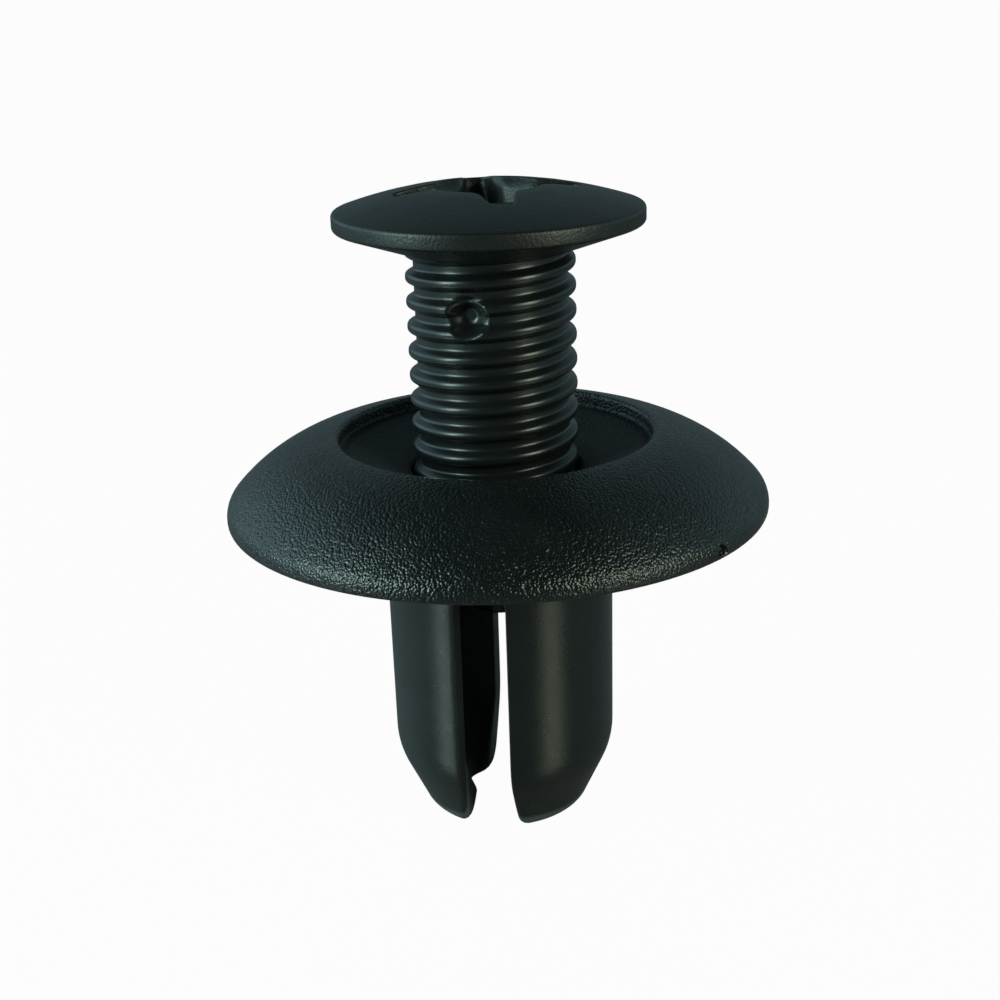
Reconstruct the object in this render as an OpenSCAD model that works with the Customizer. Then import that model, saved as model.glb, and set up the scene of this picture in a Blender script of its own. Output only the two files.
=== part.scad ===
// Two-piece screw rivet for trim panels. The grommet has a domed flange, a plain collar and
// two legs. The expander screw stands in its raised position, ready to be driven home.
// Millimetres. The origin is the centre of the flange's seating plane, on the common axis.
// +Z points from the seating plane to the screw's head, and the slot between the legs lies along Y.

/* [Flange] */
// Outside diameter of the flange
flange_d = 20; // [19:0.5:22]
// Height of the dome's crown above the seating plane
dome_h = 2.95; // [2.9:0.05:3.4]
// Radius of the rounded rim above the flange's widest line
rim_round = 0.8; // [0.5:0.1:1]
// Depth of the ring-shaped hollow under the flange
hollow_depth = 0.9; // [0.4:0.1:1.1]
// Width of the seating ring along the rim
seat_ring_w = 1.3; // [1.1:0.1:1.8]
// Diameter of the ball that forms the gate mark's dent in the rim
gate_mark_d = 0.5; // [0.45:0.05:0.8]
// Turn of the gate mark about the axis, from +X
gate_mark_turn = -30; // [-180:1:180]

/* [Stem and legs] */
// Outside diameter of the collar
stem_d = 8.5; // [8.3:0.1:8.8]
// Length of the stem below the seating plane
stem_len = 12.2; // [12:0.1:13]
// Length of the plain collar between the seating plane and the legs
collar_len = 2; // [1.8:0.1:2.4]
// Narrowing of the legs in radius, from the collar to the nose
leg_draft = 0.05; // [0.03:0.01:0.15]
// Length of the tapered nose at the legs' ends
nose_len = 2.7; // [2.5:0.1:3.2]
// Diameter of the circle on which the legs' lowest points lie
tip_circle_d = 4.6; // [4.2:0.1:4.8]
// Radius of the rounding at the legs' tips
tip_round = 1; // [0.8:0.1:1.2]
// Width of the slot between the legs
slot_w = 1.9; // [1.6:0.1:2.1]

/* [Screw head] */
// Diameter of the head
head_d = 11.1; // [10.8:0.1:11.4]
// Height of the head's dome above the middle of its rim
head_dome_h = 1.2; // [0.9:0.05:1.4]
// Height of the head's upright rim
head_rim_h = 0.64; // [0.5:0.02:0.8]
// Drop of the conical underside from the rim to the shank
head_cone_h = 1.05; // [0.9:0.05:1.2]
// Tip-to-tip span of the cross recess at the dome
cross_span = 6.6; // [5.5:0.1:7.2]
// Width of the cross recess's wings
cross_wing_w = 1.4; // [1.2:0.1:1.6]
// Diameter of the cross recess's central cone at the dome
cross_cone_d = 3.8; // [3:0.1:4.2]
// Depth of the cross recess below the dome's top
cross_depth = 2.6; // [2:0.1:3]
// Turn of the cross recess about the axis
cross_turn = 20; // [0:1:89]

/* [Screw shank] */
// Diameter over the thread's crests
thread_d = 6.1; // [5.9:0.05:6.2]
// Depth of the thread
thread_depth = 0.3; // [0.2:0.01:0.35]
// Pitch of the single-start right-hand thread
thread_pitch = 0.9; // [0.8:0.05:1]
// Length of the plain pilot tip below the thread
pilot_len = 2.75; // [2.5:0.05:3]
// Diameter of the pilot where it meets the thread
pilot_top_d = 4.8; // [4.4:0.1:5]
// Length of the pilot's blunt end
pilot_end_len = 0.8; // [0.7:0.1:1]
// Height of the driven-home pilot's end above the legs' tips
pilot_rise = 0.2; // [0.15:0.05:0.4]
// Diameter of the round moulding pit in the shank
pit_d = 1.65; // [1.2:0.05:2]
// Distance of the pit's centre below the middle of the head's rim
pit_drop = 3.05; // [2.4:0.05:5]
// Turn of the pit about the axis, from -Y
pit_turn = -6; // [-180:1:180]

/* [Fits and position] */
// Lift of the screw above its driven-home position
screw_lift = 8; // [0:0.1:10]
// Radial clearance between the thread's crests and the bore
thread_clearance = 0.08; // [0.05:0.01:0.1]
// Radial clearance between the pilot's end and the opening between the tips
pilot_clearance = 0.14; // [0.1:0.01:0.3]
// Gap under the driven-home head
seat_gap = 0.1; // [0.05:0.01:0.2]
// Radial clearance round the driven-home head
head_clearance = 0.22; // [0.15:0.01:0.4]

/* [Hidden] */
$fn = 64;

plastic = [0.05, 0.055, 0.06];
arc_step = 6;
cut_margin = 1;

flange_r = flange_d / 2;
stem_r = stem_d / 2;
head_r = head_d / 2;
crest_r = thread_d / 2;
root_r = crest_r - thread_depth;
bore_r = crest_r + thread_clearance;

// The middle of the driven-home head's rim lies just under the dome's crown.
head_sink = 0.2;
home_z = dome_h - head_sink;
head_z = home_z + screw_lift;
head_corner = 0.15;
head_edge_r = head_r - head_corner;
head_rim_half = head_rim_h / 2;
shank_overlap = 0.35;
head_under_r = root_r - shank_overlap;
cone_slope = head_cone_h / (head_edge_r - head_under_r);

// The screw reaches to the legs' tips, and its thread runs from the pilot up into the head.
pilot_tip_drop = home_z + stem_len - pilot_rise;
thread_foot_drop = pilot_tip_drop - pilot_len;
thread_head_drop = 0.3;
thread_steps = 24;
thread_points = 6;
thread_rows = round(thread_steps * (thread_foot_drop - thread_head_drop) / thread_pitch);
thread_turns = thread_rows / thread_steps;

// The dish follows the head's underside at the seating gap.
dish_r = head_r + head_clearance;
dish_floor_z = home_z - head_rim_half - seat_gap;
dish_bore_z = dish_floor_z - cone_slope * (head_edge_r - bore_r);
dish_lip_round = 0.15;
dish_corner = 0.15;

// The crown arc and the rim arc of the flange touch at one slope.
crown_centre_r = flange_r / 2;
crown_edge_z = 0.55;
crown_run = flange_r - crown_centre_r;
crown_rise = dome_h - crown_edge_z;
crown_r = (crown_run * crown_run + crown_rise * crown_rise) / (2 * crown_rise);
crown_centre_z = dome_h - crown_r;
rim_centre_r = flange_r - rim_round;
rim_gap_r = rim_centre_r - crown_centre_r;
rim_centre_z = crown_centre_z + sqrt(pow(crown_r - rim_round, 2) - rim_gap_r * rim_gap_r);
rim_slope = atan2(rim_centre_z - crown_centre_z, rim_gap_r);
rim_foot_share = 0.9;
rim_foot_round = rim_foot_share * rim_centre_z;
lip_slope = acos((dish_r + dish_lip_round - crown_centre_r) / crown_r);
lip_z = crown_centre_z + crown_r * sin(lip_slope);

// The bore narrows inside the nose, clear of the driven-home pilot, to an opening between the tips.
nose_z = -(stem_len - nose_len);
nose_slope = 20;
tip_inner_angle = -150;
bore_end_r = tip_circle_d / 2 + tip_round * cos(tip_inner_angle);
pilot_end_r = bore_end_r - pilot_clearance;
taper_lead = 0.2;
bore_end_z = home_z - pilot_tip_drop + pilot_end_len - taper_lead;
bore_taper_z = home_z - thread_foot_drop - taper_lead;
slot_drop = 0.4;
slot_top_z = -collar_len - slot_drop;

collar_foot_w = 0.8;
collar_foot_r = stem_r + collar_foot_w;
hollow_draft = 0.25;
gate_mark_depth = 0.2;

cross_shoulder = 0.25;
pilot_chamfer = 0.3;
pit_depth = 0.7;
thread_z = head_z - thread_foot_drop;

// Points along an arc about a centre in the section plane, from one angle to another
function arc(centre, radius, from, to) =
  let (count = ceil(abs(to - from) / arc_step))
  [for (i = [0 : count]) centre + radius * [cos(from + (to - from) * i / count),
                                            sin(from + (to - from) * i / count)]];

// Half section of the grommet before the slot is cut: nose, flange, dish and bore in turn
function grommet_section() = concat(
  arc([tip_circle_d / 2, tip_round - stem_len], tip_round, tip_inner_angle, -nose_slope),
  [[stem_r - leg_draft, nose_z], [stem_r, -collar_len], [stem_r, 0], [collar_foot_r, 0]],
  [[collar_foot_r + hollow_draft, hollow_depth]],
  [[flange_r - seat_ring_w - hollow_draft, hollow_depth], [flange_r - seat_ring_w, 0]],
  arc([flange_r - rim_foot_round, rim_foot_round], rim_foot_round, -90, 0),
  arc([rim_centre_r, rim_centre_z], rim_round, 0, rim_slope),
  arc([crown_centre_r, crown_centre_z], crown_r, rim_slope + arc_step / 2, lip_slope),
  arc([dish_r + dish_lip_round, lip_z - dish_lip_round], dish_lip_round, 90, 180),
  [[dish_r, dish_floor_z + dish_corner], [dish_r - dish_corner, dish_floor_z]],
  [[head_edge_r, dish_floor_z], [bore_r, dish_bore_z]],
  [[bore_r, bore_taper_z], [bore_end_r, bore_end_z]]
);

// The slot right across the stem, with a round upper end
module leg_slot() {
  slot_r = slot_w / 2;
  outline = concat(
    [[-slot_r, -stem_len - cut_margin], [slot_r, -stem_len - cut_margin]],
    arc([0, slot_top_z - slot_r], slot_r, 0, 180)
  );
  rotate([90, 0, 0])
    linear_extrude(height = 2 * (stem_r + cut_margin), center = true)
      polygon(outline);
}

module grommet() {
  color(plastic)
    difference() {
      rotate_extrude()
        polygon(grommet_section());
      leg_slot();
      rotate([0, 0, gate_mark_turn])
        translate([flange_r + gate_mark_d / 2 - gate_mark_depth, 0, rim_centre_z])
          sphere(d = gate_mark_d);
    }
}

// Half section of the head about the middle of its rim, with a small round at both edges of the rim
function head_section() =
  let (
    dome_rise = head_dome_h - head_rim_half,
    dome_r = (head_edge_r * head_edge_r + dome_rise * dome_rise) / (2 * dome_rise),
    dome_centre_z = head_dome_h - dome_r,
    corner_z = dome_centre_z + sqrt(pow(dome_r - head_corner, 2) - head_edge_r * head_edge_r),
    dome_slope = atan2(corner_z - dome_centre_z, head_edge_r)
  )
  concat(
    [[0, -head_rim_half - head_cone_h], [head_under_r, -head_rim_half - head_cone_h]],
    arc([head_edge_r, head_corner - head_rim_half], head_corner, -90, 0),
    arc([head_edge_r, corner_z], head_corner, 0, dome_slope),
    arc([0, dome_centre_z], dome_r, dome_slope + arc_step / 4, 90)
  );

// One wing pair of the cross recess, seen from the side: the span shrinks with depth
module cross_wings() {
  tip_r = cross_span / 2;
  foot_r = cross_wing_w / 2;
  mouth_z = head_dome_h + cut_margin;
  shoulder_z = head_dome_h - cross_depth * cross_shoulder;
  floor_z = head_dome_h - cross_depth;
  side = [[-tip_r, mouth_z], [tip_r, mouth_z], [tip_r, shoulder_z],
          [foot_r, floor_z], [-foot_r, floor_z], [-tip_r, shoulder_z]];
  rotate([90, 0, 0])
    linear_extrude(height = cross_wing_w, center = true)
      polygon(side);
}

// Four wings round a central cone that opens to the dome
module cross_recess() {
  cone_flare = (cross_cone_d - cross_wing_w) / cross_depth;
  mouth_d = cross_cone_d + cone_flare * cut_margin;
  for (turn = [0, 90])
    rotate([0, 0, turn])
      cross_wings();
  translate([0, 0, head_dome_h - cross_depth])
    cylinder(h = cross_depth + cut_margin, d1 = cross_wing_w, d2 = mouth_d);
}

// Single-start thread on its core: rows of points turn about the axis and climb one pitch a turn
module threaded_core() {
  function crest_share(j) = 0.5 - 0.5 * cos(360 * j / thread_points);
  function run_in(i) = min(1, i / thread_steps);
  function row_point(i, j) =
    let (r = root_r + thread_depth * run_in(i) * crest_share(j), a = 360 * i / thread_steps)
    [r * cos(a), r * sin(a), thread_pitch * (i / thread_steps + j / thread_points)];
  function index(i, j) = j < thread_points ? i * thread_points + j : (i + thread_steps) * thread_points;

  last = thread_points - 1;
  top_row = thread_rows - thread_steps;
  foot = (thread_rows + 1) * thread_points;
  head = foot + 1;
  points = concat(
    [for (i = [0 : thread_rows], j = [0 : last]) row_point(i, j)],
    [[0, 0, thread_pitch / 2], [0, 0, thread_pitch * (thread_turns + 1 / 2)]]
  );
  cells = [for (i = [0 : thread_rows - 1], j = [0 : last])
             if (j < last || i < top_row) [i, j]];
  faces = concat(
    [for (c = cells) [index(c.x, c.y), index(c.x, c.y + 1), index(c.x + 1, c.y + 1)]],
    [for (c = cells) [index(c.x, c.y), index(c.x + 1, c.y + 1), index(c.x + 1, c.y)]],
    [for (i = [0 : thread_steps - 1]) [foot, index(i, 0), index(i + 1, 0)]],
    [[foot, for (j = [thread_points : -1 : 0]) index(0, j)]],
    [for (i = [top_row : thread_rows - 1]) [head, index(i + 1, last), index(i, last)]],
    [[head, index(top_row, last), for (j = [0 : last]) index(thread_rows, j)]]
  );
  polyhedron(points = points, faces = faces, convexity = 6);
}

// Half section of the pilot, from its chamfered end up into the thread's core
function pilot_section() = [
  [0, 0], [pilot_end_r - pilot_chamfer, 0], [pilot_end_r, pilot_chamfer],
  [pilot_end_r, pilot_end_len], [pilot_top_d / 2, pilot_len],
  [pilot_top_d / 2, pilot_len + thread_pitch], [0, pilot_len + thread_pitch]
];

module expander_screw() {
  color(plastic)
    difference() {
      union() {
        translate([0, 0, head_z])
          rotate_extrude()
            polygon(head_section());
        translate([0, 0, thread_z])
          threaded_core();
        translate([0, 0, thread_z - pilot_len])
          rotate_extrude()
            polygon(pilot_section());
      }
      translate([0, 0, head_z])
        rotate([0, 0, cross_turn])
          cross_recess();
      translate([0, 0, head_z - pit_drop])
        rotate([90, 0, pit_turn])
          translate([0, 0, crest_r - pit_depth])
            cylinder(h = thread_d, d = pit_d);
    }
}

grommet();
expander_screw();
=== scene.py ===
"""A screw rivet of black moulded plastic: a grommet with split legs and a raised expander screw."""
from math import acos, asin, atan2, cos, hypot, pi, radians, sin, sqrt

import bmesh
import bpy
from mathutils import Matrix, Vector


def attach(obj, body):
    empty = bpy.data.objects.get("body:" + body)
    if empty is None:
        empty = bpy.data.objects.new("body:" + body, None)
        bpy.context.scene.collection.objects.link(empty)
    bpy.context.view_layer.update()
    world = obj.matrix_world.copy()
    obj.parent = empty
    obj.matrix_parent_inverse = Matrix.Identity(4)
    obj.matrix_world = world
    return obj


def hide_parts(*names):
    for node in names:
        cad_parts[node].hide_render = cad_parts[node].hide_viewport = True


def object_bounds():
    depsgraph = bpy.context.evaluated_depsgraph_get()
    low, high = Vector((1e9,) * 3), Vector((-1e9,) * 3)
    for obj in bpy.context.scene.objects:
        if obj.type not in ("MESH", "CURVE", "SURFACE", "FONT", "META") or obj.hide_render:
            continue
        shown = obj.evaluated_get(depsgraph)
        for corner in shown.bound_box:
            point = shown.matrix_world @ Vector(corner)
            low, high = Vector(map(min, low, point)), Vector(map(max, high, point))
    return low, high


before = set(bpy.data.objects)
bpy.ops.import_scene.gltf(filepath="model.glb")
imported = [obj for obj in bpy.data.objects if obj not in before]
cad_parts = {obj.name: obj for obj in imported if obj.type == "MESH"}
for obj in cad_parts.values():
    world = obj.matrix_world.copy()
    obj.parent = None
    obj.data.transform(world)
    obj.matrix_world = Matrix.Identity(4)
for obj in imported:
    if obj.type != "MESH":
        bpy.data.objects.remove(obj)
CAD_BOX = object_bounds()

bl_info = {
    "name": "Screw rivet",
    "version": (1, 0, 0),
    "blender": (4, 5, 0),
    "location": "View3D > Sidebar > Screw rivet",
    "description": "Builds a moulded screw rivet with split legs and a raised expander screw",
    "category": "Mesh",
}

# Points closer together than this become one point.
MERGE = 1e-7
# Edges bent by more than this stay sharp in the shading.
SHARP = radians(75)
# Width of the ring of dome outside the recess's wings that leads over to the recess.
RECESS_MARGIN = 0.7e-3


def size(name, description, millimetres):
    """A length for the sidebar, written in millimetres and kept in metres."""
    return bpy.props.FloatProperty(
        name=name,
        description=description,
        default=millimetres / 1000,
        precision=5,
        unit="LENGTH",
    )


def angle(name, description, degrees):
    """An angle for the sidebar, written in degrees and kept in radians."""
    return bpy.props.FloatProperty(
        name=name,
        description=description,
        default=radians(degrees),
        subtype="ANGLE",
    )


def share(name, description, value):
    """A plain factor from nought to one for the sidebar."""
    return bpy.props.FloatProperty(
        name=name,
        description=description,
        default=value,
        min=0.0,
        max=1.0,
        subtype="FACTOR",
    )


def level(name, description, value):
    """A brightness for the sidebar."""
    return bpy.props.FloatProperty(name=name, description=description, default=value, min=0.0)


def wattage(name, description, watts):
    """A lamp's power for the sidebar."""
    return bpy.props.FloatProperty(
        name=name,
        description=description,
        default=watts,
        min=0.0,
        precision=4,
        unit="POWER",
    )


def tint(name, description, value):
    """A colour for the sidebar."""
    return bpy.props.FloatVectorProperty(
        name=name,
        description=description,
        default=value,
        size=3,
        min=0.0,
        max=1.0,
        subtype="COLOR",
    )


class GrommetSizes(bpy.types.PropertyGroup):
    """Sizes of the flange, the collar and the two legs."""

    flange_radius: size("Flange radius", "Outside radius of the flange", 10)
    dome_height: size("Dome height", "Height of the crown above the seat", 2.95)
    crown_edge: size("Crown edge", "Height at which the crown's arc meets the rim", 0.55)
    rim_round: size("Rim rounding", "Radius of the rim above its widest line", 0.8)
    rim_foot: size("Rim foot", "Rounding of the rim's lower edge", 0.22)
    hollow_depth: size("Hollow depth", "Depth of the ring-shaped hollow under the flange", 0.9)
    seat_width: size("Seat width", "Width of the seating ring along the rim", 1.3)
    foot_width: size("Collar foot", "Width of the flat ring round the collar", 0.8)
    dish_radius: size("Dish radius", "Radius of the dish that takes the head", 5.77)
    dish_floor: size("Dish floor", "Height of the dish's outer floor", 2.33)
    dish_flat: size("Dish flat", "Radius at which the dish's cone starts", 5.4)
    dish_mouth: size("Bore mouth", "Height of the bore's upper end", 1.535)
    lip_round: size("Lip rounding", "Rounding of the lip between crown and dish", 0.16)
    bore_radius: size("Bore radius", "Radius of the bore round the thread", 3.13)
    collar_radius: size("Collar radius", "Outside radius of the collar", 4.25)
    collar_length: size("Collar length", "Length of the plain collar", 2)
    leg_draft: size("Leg draft", "Narrowing of the legs towards the nose", 0.05)
    stem_length: size("Stem length", "Length of the stem below the seat", 12.2)
    nose_length: size("Nose length", "Length of the tapered nose", 2.7)
    tip_radius: size("Tip circle", "Radius on which the legs' lowest points lie", 2.3)
    tip_round: size("Tip rounding", "Rounding of the legs' tips", 1)
    slot_width: size("Slot width", "Width of the slot between the legs", 1.9)
    slot_top: size("Slot top", "Depth of the slot's upper end below the seat", 1.75)
    taper_depth: size("Taper depth", "Depth at which the bore starts to narrow", 9.45)
    taper_end: size("Taper end", "Depth at which the bore has narrowed to its opening", 11.4)
    edge_round: size("Leg edges", "Rounding along the slot", 0.07)
    tip_edge: size("Tip edges", "Rounding along the slot at the legs' tips", 0.4)
    gate_radius: size("Gate mark radius", "Radius of the gate mark's dent in the rim", 0.29)
    gate_depth: size("Gate mark depth", "Depth of the gate mark's dent", 0.26)
    gate_height: size("Gate mark height", "Height of the gate mark above the seat", 0.31)
    gate_turn: angle("Gate mark turn", "Turn of the gate mark about the axis, from the front", 60)


class ScrewSizes(bpy.types.PropertyGroup):
    """Sizes of the head, its cross recess, the thread and the pilot."""

    head_height: size("Head height", "Height of the rim's middle above the seat", 10.75)
    head_radius: size("Head radius", "Radius of the head", 5.55)
    rim_half: size("Rim half height", "Half the height of the head's upright rim", 0.32)
    corner: size("Rim corner", "Rounding of the rim's two edges", 0.15)
    dome_rise: size("Dome rise", "Rise of the dome above the rim's middle", 1.2)
    cone_drop: size("Cone drop", "Drop of the conical underside", 1.05)
    wing_reach: size("Wing reach", "Reach of the recess's wings from the axis", 3.3)
    wing_width: size("Wing width", "Width of the recess's wings at the axis", 1.5)
    wing_end: size("Wing end", "Width of the recess's wings at their ends", 0.95)
    mouth_radius: size("Recess mouth", "Radius of the recess's central cone", 1.9)
    recess_depth: size("Recess depth", "Depth of the recess below the dome's top", 2.6)
    recess_turn: angle("Recess turn", "Turn of the recess about the axis", 20)
    thread_foot: size("Thread foot", "Height of the thread's lower end", -1.25)
    crest_radius: size("Crest radius", "Radius over the thread's crests", 3.05)
    thread_depth: size("Thread depth", "Depth of the thread", 0.3)
    thread_pitch: size("Thread pitch", "Climb of the thread in a turn", 0.9)
    thread_turns: bpy.props.IntProperty(
        name="Thread turns", description="Number of turns of thread", default=13, min=1
    )
    pilot_length: size("Pilot length", "Length of the plain pilot", 2.75)
    pilot_top: size("Pilot top", "Radius of the pilot at the thread", 2.4)
    pilot_end: size("Pilot end", "Radius of the pilot's blunt end", 1.29)
    pilot_blunt: size("Blunt length", "Length of the pilot's blunt end", 0.8)
    pit_radius: size("Pit radius", "Radius of the round moulding pit", 0.825)
    pit_height: size("Pit height", "Height of the pit's centre above the seat", 7.7)
    pit_depth: size("Pit depth", "Depth of the pit below the crests", 0.7)
    pit_turn: angle("Pit turn", "Turn of the pit about the axis, from the front", -6)


class PlasticFinish(bpy.types.PropertyGroup):
    """Colours and surface of the black plastic, with the painted glare and painted highlight colours.
    """

    black: tint("Black", "Main colour of the plastic", (0.004, 0.0054, 0.0057))
    bloom: tint("Bloom", "Paler colour of the faint cloudy bloom", (0.0068, 0.0094, 0.0099))
    # Painted glare: a paler colour inside the bore that stands in for stray light there.
    bore_glare: tint("Bore tone", "Colour of the dull surface inside the bore", (0.06, 0.08, 0.08))
    # Painted highlight: a pale line along the front of the dish's lip.
    lip_highlight: tint("Highlight", "Colour of the scuffed line on the dish's lip", (0.2, 0.24, 0.25))
    gloss_tint: tint("Gloss tint", "Tint of the plastic's reflections", (0.84, 1.0, 1.0))
    grain_size: size("Grain size", "Spacing of the flange's eroded grain", 0.095)
    grain_height: size("Grain height", "Height of the flange's eroded grain", 0.038)
    flange_gloss: share("Flange roughness", "Roughness of the grained surfaces", 0.24)
    leg_gloss: share("Leg roughness", "Roughness of the collar and the legs", 0.28)
    bore_gloss: share("Bore roughness", "Roughness inside the bore and on the slot's walls", 0.6)
    dish_gloss: share("Dish roughness", "Roughness inside the flange's dish", 0.6)
    head_gloss: share("Head roughness", "Roughness of the screw's head", 0.43)
    shank_gloss: share("Shank roughness", "Roughness of the screw's shank", 0.29)


class StageSetup(bpy.types.PropertyGroup):
    """Camera, surroundings, floor and lamps."""

    camera_turn: angle("Camera turn", "Turn of the camera to the right of the front", 11.3)
    camera_rise: angle("Camera rise", "Elevation of the camera", 19.1)
    camera_roll: angle("Camera roll", "Roll of the camera about its own axis", -1.85)
    camera_distance: size("Camera distance", "Distance of the camera from its aim", 61)
    aim_side: size("Aim side", "Offset of the aim along the camera's right", 0.08)
    aim_height: size("Aim height", "Height of the aim above the seat", 0.11)
    view_width: angle("View width", "Angle of view across the picture", 34.05)
    surround: tint("Surround", "Colour of the bright walls on both sides and behind", (0.6, 0.9, 1.0))
    left_wall: level("Left wall", "Brightness of the wall on the left", 1.8)
    right_wall: level("Right wall", "Brightness of the wall on the right", 0.5)
    back_wall: level("Back wall", "Brightness of the wall behind", 0.24)
    dark_wall: level("Dark walls", "Brightness in front and overhead", 0.012)
    floor_radius: size("Floor radius", "Radius of the wide floor", 4000)
    floor_tone: tint("Floor", "Colour of the floor where light falls on it", (0.26, 0.27, 0.27))
    floor_sheen: share("Floor sheen", "Share of the floor's soft gloss", 0.2)
    floor_white: share("Floor white", "Share of plain white that the camera sees on the floor", 0.97)
    lamp_distance: size("Lamp distance", "Distance of both lamps from the origin", 100)
    lamp_rise: angle("Lamp rise", "Elevation of both lamps", 19)
    lamp_height: size("Lamp height", "Height of both lamps' faces", 55)
    left_turn: angle("Left lamp turn", "Turn of the left lamp from the camera", -62)
    left_width: size("Left lamp width", "Width of the left lamp's face", 26)
    left_power: wattage("Left lamp power", "Power of the left lamp", 0.068)
    left_lamp: tint("Left lamp", "Colour of the left lamp", (0.86, 1.0, 0.88))
    right_turn: angle("Right lamp turn", "Turn of the right lamp from the camera", 50)
    right_width: size("Right lamp width", "Width of the right lamp's face", 32)
    right_power: wattage("Right lamp power", "Power of the right lamp", 0.058)
    right_lamp: tint("Right lamp", "Colour of the right lamp", (1.0, 0.96, 0.72))


def arc(centre, radius, start, end, steps):
    """Points along an arc in the plane of radius and height."""
    sweep = [start + (end - start) * i / steps for i in range(steps + 1)]
    return [Vector((centre[0] + radius * cos(a), centre[1] + radius * sin(a))) for a in sweep]


def rounded(corners, steps=5):
    """Points along an outline of (radius, height, reach), each inner corner eased over its reach."""
    points = []
    for i, (r, z, reach) in enumerate(corners):
        here = Vector((r, z))
        if reach == 0 or i in (0, len(corners) - 1):
            points.append(here)
            continue
        start = here + (Vector(corners[i - 1][:2]) - here).normalized() * reach
        end = here + (Vector(corners[i + 1][:2]) - here).normalized() * reach
        for k in range(steps + 1):
            t = k / steps
            points.append(start * (1 - t) ** 2 + here * 2 * t * (1 - t) + end * t * t)
    return points


def turn_outline(bm, outline, steps):
    """Turns an outline of radius and height once round the axis."""
    verts = [bm.verts.new((r, 0, z)) for r, z in outline]
    edges = [bm.edges.new(pair) for pair in zip(verts, verts[1:])]
    bmesh.ops.spin(
        bm,
        geom=verts + edges,
        cent=(0, 0, 0),
        axis=(0, 0, 1),
        angle=2 * pi,
        steps=steps,
        use_merge=True,
    )


def bridge_rows(bm, rows):
    """Joins neighbouring rows of vertices with faces."""
    for pair in zip(rows, rows[1:]):
        edges = []
        for row in pair:
            for ends in zip(row, row[1:]):
                edges.append(bm.edges.get(ends) or bm.edges.new(ends))
        bmesh.ops.bridge_loops(bm, edges=edges)


def finish_piece(bm, name, body, node, material):
    """Closes a mesh and makes it the piece that stands for its node."""
    bmesh.ops.remove_doubles(bm, verts=bm.verts, dist=MERGE)
    bmesh.ops.dissolve_degenerate(bm, edges=bm.edges, dist=MERGE)
    bmesh.ops.recalc_face_normals(bm, faces=bm.faces)
    for face in bm.faces:
        face.smooth = True
    mesh = bpy.data.meshes.new(name)
    bm.to_mesh(mesh)
    bm.free()
    mesh.set_sharp_from_angle(angle=SHARP)
    mesh.materials.append(material)
    piece = bpy.data.objects.new(name, mesh)
    bpy.context.scene.collection.objects.link(piece)
    even = piece.modifiers.new("Even shading", "WEIGHTED_NORMAL")
    even.keep_sharp = True
    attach(piece, body)
    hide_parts(node)


def flange_outline(s):
    """Half section of the flange, from the collar's foot round the rim and the dish to the bore."""
    crown_mid = s.flange_radius / 2
    rise = s.dome_height - s.crown_edge
    crown_round = (crown_mid ** 2 + rise ** 2) / (2 * rise)
    crown_low = s.dome_height - crown_round
    rim_mid = s.flange_radius - s.rim_round
    gap = rim_mid - crown_mid
    rim_height = crown_low + sqrt((crown_round - s.rim_round) ** 2 - gap ** 2)
    slope = atan2(rim_height - crown_low, gap)
    lip_mid = s.dish_radius + s.lip_round
    lip = acos((lip_mid - crown_mid) / crown_round)
    lip_height = crown_low + crown_round * sin(lip)
    foot = s.collar_radius + s.foot_width
    seat = s.flange_radius - s.seat_width
    draft = 0.25e-3
    ease = 0.1e-3
    under = rounded([
        (s.collar_radius, 0, 0),
        (foot, 0, ease),
        (foot + draft, s.hollow_depth, 2 * ease),
        (seat - draft, s.hollow_depth, 2 * ease),
        (seat, 0, ease),
        (s.flange_radius, 0, s.rim_foot),
        (s.flange_radius, rim_height, 0),
    ])
    dish = rounded([
        (s.dish_radius, lip_height - s.lip_round, 0),
        (s.dish_radius, s.dish_floor, 1.6 * ease),
        (s.dish_flat, s.dish_floor, ease),
        (s.bore_radius, s.dish_mouth, 2 * ease),
        (s.bore_radius, 0, 0),
    ])
    return (
        under
        + arc((rim_mid, rim_height), s.rim_round, 0, slope, 10)[1:]
        + arc((crown_mid, crown_low), crown_round, slope, lip, 14)[1:]
        + arc((lip_mid, lip_height - s.lip_round), s.lip_round, pi / 2, pi, 5)
        + dish[1:]
    )


def leg_outlines(s):
    """Outer and inner half sections of a leg from the slot's springing to the opening at the tips."""
    nose_ease = 0.7e-3
    taper_ease = 0.4e-3
    tip_mid = (s.tip_radius, s.tip_round - s.stem_length)
    tip_start, tip_finish = -radians(20), -radians(150)
    tip = arc(tip_mid, s.tip_round, tip_start, tip_finish, 18)
    spring = -s.slot_top - s.slot_width / 2
    nose = s.nose_length - s.stem_length
    fall = (spring + s.collar_length) / (nose + s.collar_length)
    outer = rounded([
        (s.collar_radius - s.leg_draft * fall, spring, 0),
        (s.collar_radius - s.leg_draft, nose, nose_ease),
        (tip[0][0], tip[0][1], 0),
    ], 8) + tip[1:]
    inner = rounded([
        (s.bore_radius, spring, 0),
        (s.bore_radius, -s.taper_depth, taper_ease),
        (tip[-1][0], -s.taper_end, 0),
    ], 5)
    return outer, inner


def refined(points, longest):
    """The same outline with its long steps divided."""
    fine = [points[0]]
    for a, b in zip(points, points[1:]):
        parts = max(1, round((b - a).length / longest))
        fine += [a.lerp(b, k / parts) for k in range(1, parts + 1)]
    return fine


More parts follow.
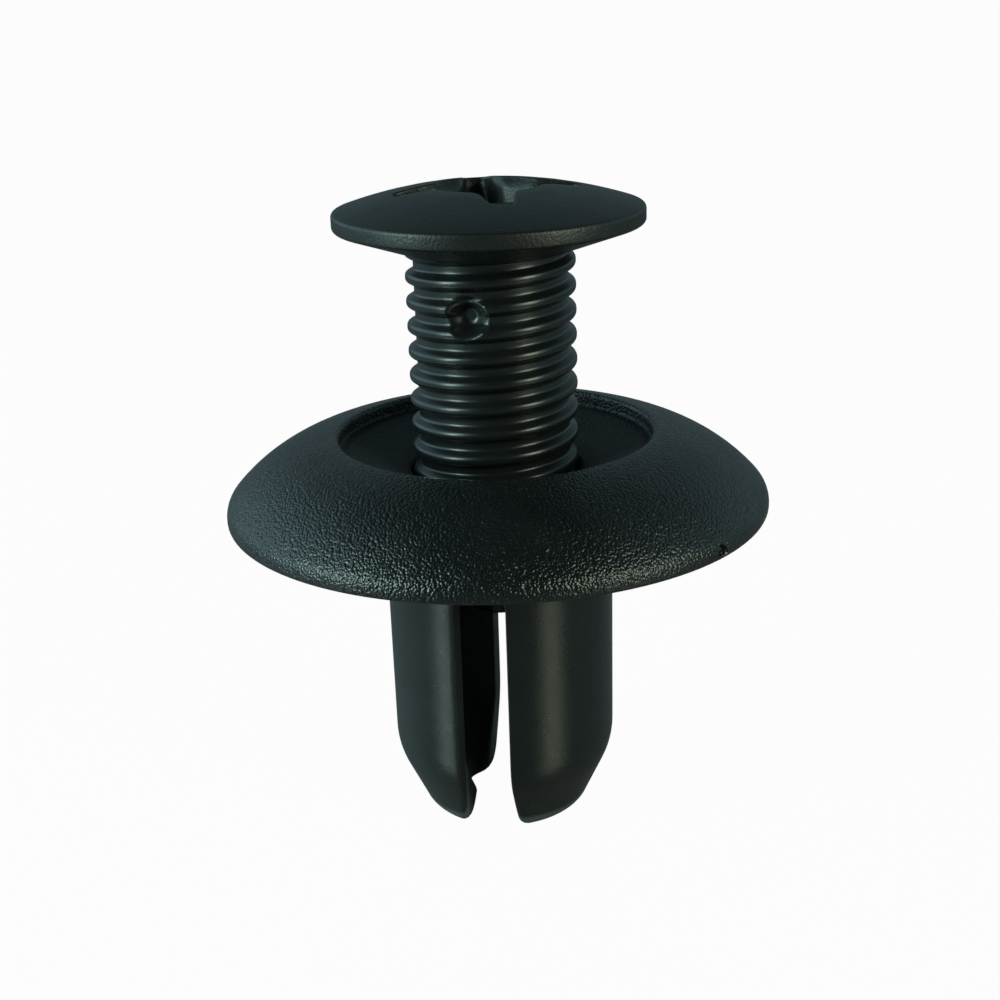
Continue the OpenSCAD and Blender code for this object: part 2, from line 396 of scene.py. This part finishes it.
def leg_row(bm, spot, inward, arch, s, spans, ease_steps):
    """One row of a quarter's skin, from the slot's wall with its eased edge round to the plane of X."""
    slot_half = s.slot_width / 2
    spring = -s.slot_top - slot_half
    r, z = spot
    room = r * (pi / 2 - asin(min(1.0, slot_half / r)))
    low = min(1.0, max(0.0, 1 - (z + s.stem_length) / s.nose_length))
    ease = min(s.edge_round + (s.tip_edge - s.edge_round) * low ** 2, 0.35 * room)
    side = []
    for k in range(ease_steps):
        turn = pi / 2 * k / ease_steps
        away = slot_half + ease * (1 - cos(turn))
        deep = ease * (1 - sin(turn))
        if arch is None:
            x, height = away, z + inward[1] * deep
        else:
            x, height = away * cos(arch), spring + away * sin(arch)
        reach = r + inward[0] * deep
        side.append((x, sqrt(reach * reach - x * x), height))
    lead = slot_half + ease
    if arch is not None:
        z = spring + lead * sin(arch)
        lead = lead * cos(arch)
    first = asin(lead / r)
    face = []
    for j in range(spans + 1):
        a = first + (pi / 2 - first) * j / spans
        face.append((r * sin(a), r * cos(a), z))
    return [bm.verts.new(p) for p in side + face]


def build_leg(bm, s, spans, ease_steps):
    """A quarter of the collar with half a leg, from the slot along Y round to the plane of X."""
    longest_step = 0.9e-3
    arch_steps = 8
    outer, inner = (refined(points, longest_step) for points in leg_outlines(s))
    arches = [pi / 2 * (1 - k / arch_steps) for k in range(arch_steps)]

    def ring(r, z):
        """A plain quarter ring of vertices."""
        turns = [pi / 2 * j / spans for j in range(spans + 1)]
        return [bm.verts.new((r * sin(a), r * cos(a), z)) for a in turns]

    def skin(points, facing):
        """Rows of one face of the leg with its inward directions."""
        rows = [leg_row(bm, (points[0][0], 0), (facing, 0), a, s, spans, ease_steps) for a in arches]
        for i, point in enumerate(points):
            run = points[min(i + 1, len(points) - 1)] - points[max(i - 1, 0)]
            inward = Vector((-run[1], run[0])).normalized() * facing
            rows.append(leg_row(bm, point, inward, None, s, spans, ease_steps))
        return rows

    outside = skin(outer, -1)
    inside = skin(inner, 1)
    bridge_rows(bm, outside + inside[::-1])
    for rows, r in ((outside, s.collar_radius), (inside, s.bore_radius)):
        upper = rows[0][ease_steps:]
        bridge_rows(bm, [ring(r, 0), ring(r, -s.collar_length / 2), upper])
    count = len(arches)
    bridge_rows(bm, [[row[0] for row in rows[: count + 1]] for rows in (outside, inside)])
    bm.faces.new([row[0] for row in outside[count:]] + [row[0] for row in inside[count:][::-1]])


class RIVET_OT_grommet(bpy.types.Operator):
    """Builds the grommet: flange, collar and two legs in one moulding."""

    bl_idname = "rivet.grommet"
    bl_label = "Build grommet"

    def execute(self, context):
        s = context.scene.rivet_grommet
        spans = 32
        ease_steps = 4
        bm = bmesh.new()
        build_leg(bm, s, spans, ease_steps)
        for axis in ("X", "Y"):
            whole = bm.verts[:] + bm.edges[:] + bm.faces[:]
            bmesh.ops.mirror(bm, geom=whole, axis=axis, merge_dist=MERGE)
        turn_outline(bm, flange_outline(s), 4 * spans)
        bmesh.ops.remove_doubles(bm, verts=bm.verts, dist=MERGE)
        floor = s.flange_radius - s.gate_depth
        wall = 0.7 * s.gate_radius
        passes = ((4, 4), (2, 1))
        press_dent(bm, s.gate_turn, s.gate_height, s.gate_radius, floor, wall, passes)
        material = grommet_plastic(context.scene.rivet_plastic, s)
        finish_piece(bm, "grommet_moulding", "grommet", "grommet", material)
        return {"FINISHED"}


def head_outline(s):
    """Half section of the head from the axis under the shank round the edge to the recess's field."""
    low = s.head_height - s.rim_half - s.cone_drop
    sunk = 0.35e-3
    cone_slope = radians(19)
    shank = s.crest_radius - s.thread_depth - sunk
    dome_round, dome_low = dome_arc(s)
    middle = s.head_radius - s.corner
    upper = dome_low + sqrt((dome_round - s.corner) ** 2 - middle ** 2)
    slope = atan2(upper - dome_low, middle)
    field = acos((s.wing_reach + RECESS_MARGIN) / dome_round)
    foot = s.head_height - s.rim_half + s.corner
    return (
        [Vector((0, low)), Vector((shank, low))]
        + arc((middle, foot), s.corner, cone_slope - pi / 2, 0, 5)
        + arc((middle, upper), s.corner, 0, slope, 6)
        + arc((0, dome_low), dome_round, slope, field, 8)[1:]
    )


def dome_arc(s):
    """Radius and centre height of the dome's arc."""
    middle = s.head_radius - s.corner
    rise = s.dome_rise - s.rim_half
    dome_round = (middle ** 2 + rise ** 2) / (2 * rise)
    return dome_round, s.head_height + s.dome_rise - dome_round


def recess_reach(s, turn, depth):
    """Distance from the axis to the recess's wall at one turn and depth."""
    shoulder_share = 0.25
    corner_power = 8
    blend = 0.18e-3
    half = s.wing_width / 2
    off = abs((turn - s.recess_turn + pi / 4) % (pi / 2) - pi / 4)
    shoulder = shoulder_share * s.recess_depth
    fall = min(1.0, max(0.0, (depth - shoulder) / (s.recess_depth - shoulder)))
    tip = s.wing_reach + (half - s.wing_reach) * fall
    cone = s.mouth_radius + (half - s.mouth_radius) * depth / s.recess_depth
    end = tip / cos(off)
    side = half / (sin(off) + (half - s.wing_end / 2) * cos(off) / tip)
    wing = (end ** -corner_power + side ** -corner_power) ** (-1 / corner_power)
    high, low = max(wing, cone), min(wing, cone)
    return high + blend * max(0.0, 1 - (high - low) / (3 * blend)) ** 2


def cut_recess(bm, s):
    """Carries the dome's open edge on to the star-shaped mouth and down the recess's walls."""
    dome_round, dome_low = dome_arc(s)
    top = s.head_height + s.dome_rise
    lip = 0.09e-3
    lip_steps, wall_steps = 3, 10
    field = s.wing_reach + RECESS_MARGIN
    rings = [("dome", part, 0) for part in (0.35, 0.7, 1)]
    rings += [("lip", 0, pi / 2 * k / lip_steps) for k in range(1, lip_steps + 1)]
    rings += [("wall", 0, s.recess_depth * k / wall_steps) for k in range(1, wall_steps + 1)]
    edges = [e for e in bm.edges if e.is_boundary]
    for kind, mix, value in rings:
        grown = bmesh.ops.extrude_edge_only(bm, edges=edges)["geom"]
        edges = [g for g in grown if isinstance(g, bmesh.types.BMEdge)]
        for v in (g for g in grown if isinstance(g, bmesh.types.BMVert)):
            turn = atan2(v.co.y, v.co.x)
            mouth = recess_reach(s, turn, 0)
            if kind == "dome":
                r = field + (mouth + lip - field) * mix
                z = dome_low + sqrt(dome_round ** 2 - r ** 2)
            elif kind == "lip":
                r = mouth + lip * (1 - sin(value))
                z = dome_low + sqrt(dome_round ** 2 - (mouth + lip) ** 2) - lip * (1 - cos(value))
            else:
                r = recess_reach(s, turn, value)
                rim = dome_low + sqrt(dome_round ** 2 - mouth ** 2) - lip
                z = min(rim, top - value)
            v.co = (r * cos(turn), r * sin(turn), z)
        edges = [e for e in edges if e.is_boundary]
    bmesh.ops.holes_fill(bm, edges=edges, sides=0)


def wind_thread(bm, s, steps):
    """Winds the rounded thread profile up the shank and closes its two ends."""
    root = s.crest_radius - s.thread_depth
    pitch = s.thread_pitch
    foot, crest = 0.16 * pitch, 0.35 * pitch
    foot_ease, crest_ease = 0.07e-3, 0.1e-3
    run_in_length = 1.5 * pitch
    outline = rounded([
        (root, 0, 0),
        (root, foot, foot_ease),
        (s.crest_radius, crest, crest_ease),
        (s.crest_radius, pitch - crest, crest_ease),
        (root, pitch - foot, foot_ease),
        (root, pitch, 0),
    ], 3)
    verts = [bm.verts.new((r, 0, s.thread_foot + z)) for r, z in outline]
    edges = [bm.edges.new(pair) for pair in zip(verts, verts[1:])]
    bmesh.ops.spin(
        bm,
        geom=verts + edges,
        cent=(0, 0, 0),
        axis=(0, 0, 1),
        dvec=(0, 0, pitch / steps),
        angle=2 * pi * s.thread_turns,
        steps=steps * s.thread_turns,
    )
    bmesh.ops.remove_doubles(bm, verts=bm.verts, dist=MERGE)
    for v in bm.verts:
        r = hypot(v.co.x, v.co.y)
        run_in = min(1.0, max(0.0, (v.co.z - s.thread_foot) / run_in_length))
        eased = (root + (r - root) * run_in) / r
        v.co.x *= eased
        v.co.y *= eased
    bmesh.ops.holes_fill(bm, edges=[e for e in bm.edges if e.is_boundary], sides=0)


def press_dent(bm, turn, height, radius, floor, wall, passes):
    """Presses a round dent into a skin from one side, down to a floor at a distance from the axis.

    Each pass divides the edges within its reach, counted in the dent's radius, by its cuts.
    """
    facing = Vector((sin(turn), -cos(turn), 0))
    across = Vector((cos(turn), sin(turn), 0))

    def off(co):
        """Distance of a point from the dent's axis, or far off where the skin lies deeper."""
        if co.dot(facing) < floor - radius:
            return 1.0
        return hypot(co.dot(across), co.z - height)

    for reach, cuts in passes:
        near = [e for e in bm.edges if all(off(v.co) < radius * reach for v in e.verts)]
        bmesh.ops.subdivide_edges(bm, edges=near, cuts=cuts, use_grid_fill=True)
    for v in bm.verts:
        gap = off(v.co)
        out = v.co.dot(facing)
        if gap < radius and out > floor:
            sink = min(1.0, (radius - gap) / wall)
            v.co += facing * (floor - out) * sink * sink * (3 - 2 * sink)


def pilot_outline(s):
    """Half section of the pilot and the core inside the thread."""
    end_ease, top_ease = 0.3e-3, 0.1e-3
    foot = s.thread_foot
    tip = foot - s.pilot_length
    return rounded([
        (0, tip, 0),
        (s.pilot_end, tip, end_ease),
        (s.pilot_end, tip + s.pilot_blunt, end_ease),
        (s.pilot_top, foot, top_ease),
        (s.pilot_top, foot + s.thread_pitch, 0),
        (0, foot + s.thread_pitch, 0),
    ])


class RIVET_OT_screw(bpy.types.Operator):
    """Builds the expander screw: domed head with a cross recess, thread and pilot in one moulding."""

    bl_idname = "rivet.screw"
    bl_label = "Build expander screw"

    def execute(self, context):
        s = context.scene.rivet_screw
        shank_steps, head_steps = 72, 240
        shank = bmesh.new()
        wind_thread(shank, s, shank_steps)
        floor = s.crest_radius - s.pit_depth
        wall = 0.65e-3
        passes = ((1.5, 3), (1.3, 1))
        press_dent(shank, s.pit_turn, s.pit_height, s.pit_radius, floor, wall, passes)
        turned = bmesh.new()
        turn_outline(turned, head_outline(s), head_steps)
        bmesh.ops.remove_doubles(turned, verts=turned.verts, dist=MERGE)
        cut_recess(turned, s)
        turn_outline(turned, pilot_outline(s), shank_steps)
        carrier = bpy.data.meshes.new("shank")
        shank.to_mesh(carrier)
        shank.free()
        turned.from_mesh(carrier)
        bpy.data.meshes.remove(carrier)
        material = screw_plastic(context.scene.rivet_plastic)
        finish_piece(turned, "screw_moulding", "screw", "expander_screw", material)
        return {"FINISHED"}


class Nodes:
    """The node tree of a material or a world under construction."""

    def __init__(self, owner):
        owner.use_nodes = True
        self.tree = owner.node_tree
        self.tree.nodes.clear()
        self.places = self.add("ShaderNodeTexCoord").outputs
        self.coords = self.places["Object"]

    def add(self, kind, links=(), **settings):
        """A node with its settings, its socket values and its incoming links."""
        node = self.tree.nodes.new(kind)
        for key, value in settings.items():
            setattr(node, key, value)
        for socket, value in dict(links).items():
            if isinstance(value, bpy.types.NodeSocket):
                self.tree.links.new(value, node.inputs[socket])
            else:
                node.inputs[socket].default_value = value
        return node

    def noise(self, grain, detail=2.0, rough=0.5):
        """Noise whose features have about the given size in metres."""
        links = {"Vector": self.coords, "Scale": 1 / grain, "Detail": detail, "Roughness": rough}
        return self.add("ShaderNodeTexNoise", links).outputs["Fac"]

    def ramp(self, value, low, high, start=0.0, end=1.0):
        """A value carried from one range to another."""
        links = {"Value": value, "From Min": low, "From Max": high, "To Min": start, "To Max": end}
        return self.add("ShaderNodeMapRange", links).outputs["Result"]

    def blend(self, share_of_second, first, second):
        """Two colours mixed by the share of the second."""
        links = {0: share_of_second, 6: first, 7: second}
        return self.add("ShaderNodeMix", links, data_type="RGBA").outputs[2]

    def combine(self, operation, a, b):
        """Two values put together by a sum, a product or the like."""
        return self.add("ShaderNodeMath", {0: a, 1: b}, operation=operation).outputs[0]


def plastic(name, finish, surface):
    """Black plastic with a cloudy bloom, a fine eroded grain and a slightly uneven gloss."""
    material = bpy.data.materials.new(name)
    n = Nodes(material)
    grain_share, roughness, painted_light = surface(n)
    cloud_size, smear_size = 2.2e-3, 0.8e-3
    uneven_share = 0.12
    cloud = n.ramp(n.noise(cloud_size, 4.0, 0.6), 0.35, 0.7)
    colour = n.blend(cloud, (*finish.black, 1), (*finish.bloom, 1))
    # Painted light: blends in the painted glare and painted highlight colours by their shares.
    for painted_share, tone in painted_light:
        colour = n.blend(painted_share, colour, (*tone, 1))
    cells = {"Vector": n.coords, "Scale": 1 / finish.grain_size, "Smoothness": 0.5}
    spacing = n.add("ShaderNodeTexVoronoi", cells, feature="SMOOTH_F1").outputs["Distance"]
    uneven = n.combine("MULTIPLY", n.noise(finish.grain_size * 0.6, 2.0, 0.5), uneven_share)
    dimples = n.combine("ADD", n.combine("MULTIPLY", spacing, spacing), uneven)
    grain = n.combine("MULTIPLY", dimples, grain_share)
    bump = n.add(
        "ShaderNodeBump",
        {"Strength": 1.0, "Distance": finish.grain_height, "Height": grain},
        invert=True,
    )
    smear = n.ramp(n.noise(smear_size, 3.0, 0.6), 0.3, 0.7, -0.02, 0.03)
    shader = n.add(
        "ShaderNodeBsdfPrincipled",
        {
            "Base Color": colour,
            "Roughness": n.combine("ADD", roughness, smear),
            "IOR": 1.46,
            "Specular IOR Level": 0.5,
            "Specular Tint": (*finish.gloss_tint, 1),
            "Normal": bump.outputs["Normal"],
        },
    )
    n.add("ShaderNodeOutputMaterial", {"Surface": shader.outputs[0]})
    return material


def grommet_plastic(finish, s):
    """The grommet's plastic: grained on the flange, plain on the legs, dull in dish, bore and slot,
    with painted glare in the bore and a painted highlight on the dish's lip.
    """
    grain_low, grain_high = -0.4e-3, 0.1e-3
    # The painted highlight on the dish's front lip: its circle, width, ends, waver and height.
    highlight_radius, highlight_half, highlight_core = 5.92e-3, 0.05e-3, 0.015e-3
    highlight_start, highlight_end, highlight_fade = -1.8e-3, 0.4e-3, 0.3e-3
    highlight_sway, sway_size, break_size = 0.08e-3, 0.7e-3, 0.25e-3
    highlight_low, highlight_high = 2.6e-3, 2.7e-3
    mouth_low, mouth_high = 1.3e-3, 1.5e-3

    def surface(n):
        """Share of the grain, roughness and painted light over the moulding: painted glare in the bore
        and a painted highlight on the lip.
        """
        side, front, height = n.add("ShaderNodeSeparateXYZ", {0: n.coords}).outputs
        flat = n.add("ShaderNodeVectorMath", {0: n.coords, 1: (1, 1, 0)}, operation="MULTIPLY")
        reach = n.add("ShaderNodeVectorMath", {0: flat.outputs[0]}, operation="LENGTH").outputs["Value"]
        # Inside the bore: duller, and painted paler there as painted glare.
        in_bore = n.ramp(reach, s.bore_radius + 0.05e-3, s.bore_radius + 0.15e-3, 1.0, 0.0)
        across = n.combine("ABSOLUTE", side, 0)
        in_slot = n.ramp(across, s.slot_width / 2 + 0.01e-3, s.slot_width / 2 + 0.05e-3, 1.0, 0.0)
        below = n.ramp(height, -s.slot_top - 0.1e-3, -s.slot_top, finish.bore_gloss, 0.0)
        plain = n.ramp(height, grain_low, grain_high, finish.leg_gloss, finish.flange_gloss)
        rough = n.combine("MAXIMUM", plain, n.combine("MULTIPLY", in_bore, finish.bore_gloss))
        rough = n.combine("MAXIMUM", rough, n.combine("MULTIPLY", in_slot, below))
        over_mouth = n.ramp(height, mouth_low, mouth_high, 0.0, finish.dish_gloss)
        in_dish = n.ramp(reach, s.dish_radius - 0.05e-3, s.dish_radius + 0.1e-3, 1.0, 0.0)
        rough = n.combine("MAXIMUM", rough, n.combine("MULTIPLY", in_dish, over_mouth))
        # Painted highlight: a thin pale wavering line on the lip towards the front, broken up by noise.
        sway = n.ramp(n.noise(sway_size), 0.3, 0.7, -highlight_sway, highlight_sway)
        past_line = n.combine("SUBTRACT", n.combine("ADD", reach, sway), highlight_radius)
        off_line = n.combine("ABSOLUTE", past_line, 0)
        painted_highlight = n.ramp(off_line, highlight_core, highlight_half, 1.0, 0.0)
        for limit in (
            n.ramp(side, highlight_start, highlight_start + highlight_fade),
            n.ramp(side, highlight_end - highlight_fade, highlight_end, 1.0, 0.0),
            n.ramp(front, -2e-3, 0, 1.0, 0.0),
            n.ramp(height, highlight_low, highlight_high),
            n.ramp(n.noise(break_size), 0.35, 0.6, 0.25, 1.0),
        ):
            painted_highlight = n.combine("MULTIPLY", painted_highlight, limit)
        # Painted light: the paler painted glare in the bore and the painted highlight on the lip.
        painted_light = ((in_bore, finish.bore_glare), (painted_highlight, finish.lip_highlight))
        return n.ramp(height, grain_low, grain_high, 0.0, 1.0), rough, painted_light

    return plastic("grommet_black_plastic", finish, surface)


def screw_plastic(finish):
    """The screw's plastic: grained on the head, smoother along the shank."""
    neck_low, neck_high = 9.4e-3, 9.9e-3
    shank_grain, head_grain = 0.02, 0.25

    def surface(n):
        """Share of the grain and roughness over the moulding, which has no painted light."""
        height = n.add("ShaderNodeSeparateXYZ", {0: n.coords}).outputs["Z"]
        rough = n.ramp(height, neck_low, neck_high, finish.shank_gloss, finish.head_gloss)
        return n.ramp(height, neck_low, neck_high, shank_grain, head_grain), rough, ()

    return plastic("screw_black_plastic", finish, surface)


def look_matrix(place, aim, roll):
    """A camera's or lamp's matrix at a place, turned to an aim and rolled about its own axis."""
    turn = (aim - place).to_track_quat("-Z", "Y").to_matrix().to_4x4()
    return Matrix.Translation(place) @ turn @ Matrix.Rotation(roll, 4, "Z")


def white_share(n, direct, mirrored):
    """Share of the white background that the camera sees directly and that gloss mirrors."""
    path = n.add("ShaderNodeLightPath").outputs
    seen = n.combine("MULTIPLY", path["Is Camera Ray"], direct)
    return n.combine("MAXIMUM", seen, n.combine("MULTIPLY", path["Is Glossy Ray"], mirrored))


def add_lamp(name, place, aim, width, height, power, colour):
    """A soft rectangular lamp."""
    light = bpy.data.lights.new(name, "AREA")
    light.shape = "RECTANGLE"
    light.size = width
    light.size_y = height
    light.energy = power
    light.color = colour
    lamp = bpy.data.objects.new(name, light)
    lamp.matrix_world = look_matrix(place, aim, 0)
    lamp.visible_camera = False
    bpy.context.scene.collection.objects.link(lamp)


class RIVET_OT_stage(bpy.types.Operator):
    """Sets the pale floor, the soft lamps, the bright surroundings and the camera."""

    bl_idname = "rivet.stage"
    bl_label = "Set stage"

    def execute(self, context):
        s = context.scene.rivet_stage
        self.set_camera(context.scene, s)
        self.set_floor(context.scene, s)
        self.set_world(context.scene, s)
        self.set_lamps(s)
        context.scene.view_settings.view_transform = "Standard"
        return {"FINISHED"}

    def set_camera(self, scene, s):
        """The camera at the reference picture's angle."""
        right = Vector((cos(s.camera_turn), sin(s.camera_turn), 0))
        front = Vector((sin(s.camera_turn), -cos(s.camera_turn), 0))
        aim = right * s.aim_side + Vector((0, 0, s.aim_height))
        towards = front * cos(s.camera_rise) + Vector((0, 0, sin(s.camera_rise)))
        place = aim + s.camera_distance * towards
        data = bpy.data.cameras.new("camera")
        data.sensor_fit = "HORIZONTAL"
        data.angle = s.view_width
        data.clip_start = 0.001
        data.clip_end = 10
        camera = bpy.data.objects.new("camera", data)
        camera.matrix_world = look_matrix(place, aim, s.camera_roll)
        scene.collection.objects.link(camera)
        scene.camera = camera

    def set_floor(self, scene, s):
        """A wide pale floor with a soft sheen under the legs' tips."""
        bm = bmesh.new()
        bmesh.ops.create_circle(bm, cap_ends=True, segments=96, radius=s.floor_radius)
        bmesh.ops.translate(bm, verts=bm.verts, vec=(0, 0, CAD_BOX[0][2]))
        mesh = bpy.data.meshes.new("floor")
        bm.to_mesh(mesh)
        bm.free()
        material = bpy.data.materials.new("pale_floor")
        n = Nodes(material)
        diffuse = n.add("ShaderNodeBsdfDiffuse", {"Color": (*s.floor_tone, 1)})
        sheen = n.add("ShaderNodeBsdfGlossy", {"Color": (0.9, 0.9, 0.9, 1), "Roughness": 0.25})
        parts = {0: s.floor_sheen, 1: diffuse.outputs[0], 2: sheen.outputs[0]}
        body = n.add("ShaderNodeMixShader", parts)
        glow = n.add("ShaderNodeEmission", {"Color": (1, 1, 1, 1), "Strength": 1.0})
        share_of_white = white_share(n, s.floor_white, s.dark_wall)
        parts = {0: share_of_white, 1: body.outputs[0], 2: glow.outputs[0]}
        mixed = n.add("ShaderNodeMixShader", parts)
        n.add("ShaderNodeOutputMaterial", {"Surface": mixed.outputs[0]})
        mesh.materials.append(material)
        floor = bpy.data.objects.new("floor", mesh)
        scene.collection.objects.link(floor)

    def set_world(self, scene, s):
        """White behind everything for the camera, and a room with bright walls for the gloss."""
        world = bpy.data.worlds.new("surroundings")
        n = Nodes(world)
        way = n.places["Generated"]
        right = (cos(s.camera_turn), sin(s.camera_turn), 0)
        away = (-sin(s.camera_turn), cos(s.camera_turn), 0)
        side, depth = (
            n.add("ShaderNodeVectorMath", {0: way, 1: axis}, operation="DOT_PRODUCT").outputs["Value"]
            for axis in (right, away)
        )
        side_edge, side_full = 0.45, 0.95
        back_edge, back_full = 0.2, 0.9
        left_glow = n.ramp(side, -side_edge, -side_full, 0.0, s.left_wall)
        right_glow = n.ramp(side, side_edge, side_full, 0.0, s.right_wall)
        back_glow = n.ramp(depth, back_edge, back_full, 0.0, s.back_wall)
        walls = n.combine("ADD", n.combine("ADD", left_glow, right_glow), back_glow)
        room = n.add("ShaderNodeBackground", {"Color": (*s.surround, 1), "Strength": walls})
        white = n.add("ShaderNodeBackground", {"Color": (1, 1, 1, 1), "Strength": 1.0})
        share_of_white = white_share(n, 1.0, s.dark_wall)
        parts = {0: share_of_white, 1: room.outputs[0], 2: white.outputs[0]}
        mixed = n.add("ShaderNodeMixShader", parts)
        n.add("ShaderNodeOutputWorld", {"Surface": mixed.outputs[0]})
        scene.world = world

    def set_lamps(self, s):
        """An upright soft lamp on each side of the camera."""
        middle = Vector((0, 0, 0))
        for name, turn, width, power, colour in (
            ("left_lamp", s.left_turn, s.left_width, s.left_power, s.left_lamp),
            ("right_lamp", s.right_turn, s.right_width, s.right_power, s.right_lamp),
        ):
            a = s.camera_turn + turn
            flat = cos(s.lamp_rise)
            way = Vector((sin(a) * flat, -cos(a) * flat, sin(s.lamp_rise)))
            add_lamp(name, s.lamp_distance * way, middle, width, s.lamp_height, power, colour)


class RIVET_PT_sidebar(bpy.types.Panel):
    """Sizes, finishes and steps of the screw rivet."""

    bl_idname = "RIVET_PT_sidebar"
    bl_label = "Screw rivet"
    bl_space_type = "VIEW_3D"
    bl_region_type = "UI"
    bl_category = "Screw rivet"

    def draw(self, context):
        for label, name, step in (
            ("Grommet", "rivet_grommet", RIVET_OT_grommet.bl_idname),
            ("Expander screw", "rivet_screw", RIVET_OT_screw.bl_idname),
            ("Plastic", "rivet_plastic", None),
            ("Stage", "rivet_stage", RIVET_OT_stage.bl_idname),
        ):
            box = self.layout.box()
            box.label(text=label)
            group = getattr(context.scene, name)
            for key in group.__annotations__:
                box.prop(group, key)
            if step:
                box.operator(step)


GROUPS = {
    "rivet_grommet": GrommetSizes,
    "rivet_screw": ScrewSizes,
    "rivet_plastic": PlasticFinish,
    "rivet_stage": StageSetup,
}
CLASSES = (*GROUPS.values(), RIVET_OT_grommet, RIVET_OT_screw, RIVET_OT_stage, RIVET_PT_sidebar)


def register():
    """Registers the classes and hangs their settings on the scene."""
    for item in CLASSES:
        bpy.utils.register_class(item)
    for name, group in GROUPS.items():
        setattr(bpy.types.Scene, name, bpy.props.PointerProperty(type=group))


def unregister():
    """Takes the settings and the classes away again."""
    for name in GROUPS:
        delattr(bpy.types.Scene, name)
    for item in reversed(CLASSES):
        bpy.utils.unregister_class(item)


def main():
    """Registers, and builds the two pieces and the stage."""
    register()
    bpy.ops.rivet.grommet()
    bpy.ops.rivet.screw()
    bpy.ops.rivet.stage()


if __name__ == "__main__":
    main()
